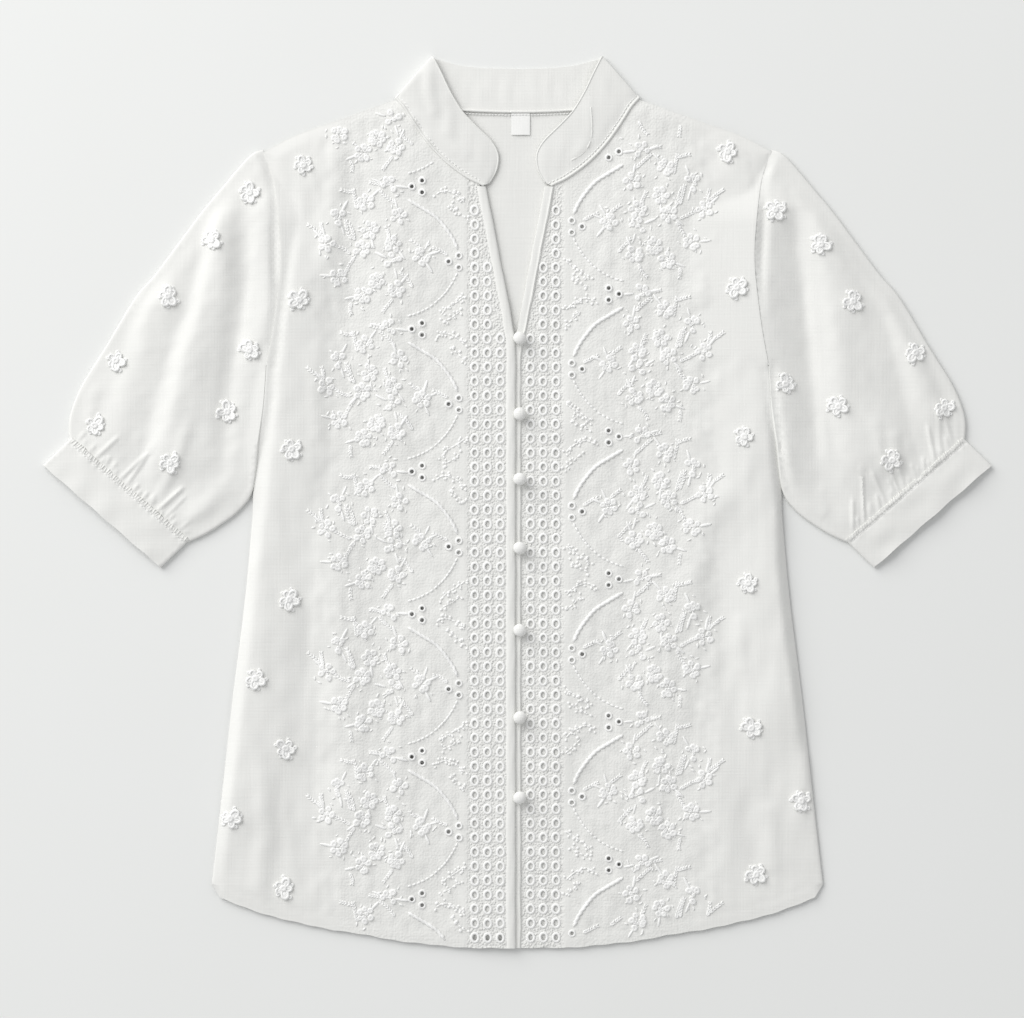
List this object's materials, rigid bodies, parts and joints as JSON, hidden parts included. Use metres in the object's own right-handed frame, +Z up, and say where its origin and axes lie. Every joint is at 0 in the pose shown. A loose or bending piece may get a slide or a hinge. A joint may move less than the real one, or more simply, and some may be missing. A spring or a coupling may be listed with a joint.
{
  "type": "eyelet blouse laid flat",
  "caption": "Cotton blouse in eyelet embroidery with a stand collar, loop and ball button front and short gathered sleeves, laid flat with its front up.",
  "frame": {"origin": "on the flat underside of the back, at the middle of the laid blouse's width and length", "axes": "+X towards the cuff of the blouse's left sleeve, +Y from hem to collar, +Z up from the surface it lies on"},
  "size_m": [0.7578, 0.7138, 0.0129],
  "materials": {
    "cotton": "fine plain-woven cotton, off-white, with eyelet embroidery in matching thread",
    "loop_cord": "thin matching cord",
    "covered_button": "ball button covered in the same cotton",
    "label_tape": "plain woven tape, bare"
  },
  "bodies": {
    "root": {"back": "cotton", "front_right": "cotton", "front_left": "cotton", "band_right": "cotton", "band_left": "cotton", "sleeve_right": "cotton", "sleeve_left": "cotton", "cuff_right": "cotton", "cuff_left": "cotton", "collar": "cotton", "label": "label_tape", "button_1": "covered_button", "button_2": "covered_button", "button_3": "covered_button", "button_4": "covered_button", "button_5": "covered_button", "button_6": "covered_button", "button_7": "covered_button", "loop_1": "loop_cord", "loop_2": "loop_cord", "loop_3": "loop_cord", "loop_4": "loop_cord", "loop_5": "loop_cord", "loop_6": "loop_cord", "loop_7": "loop_cord"}
  },
  "joints": []
}
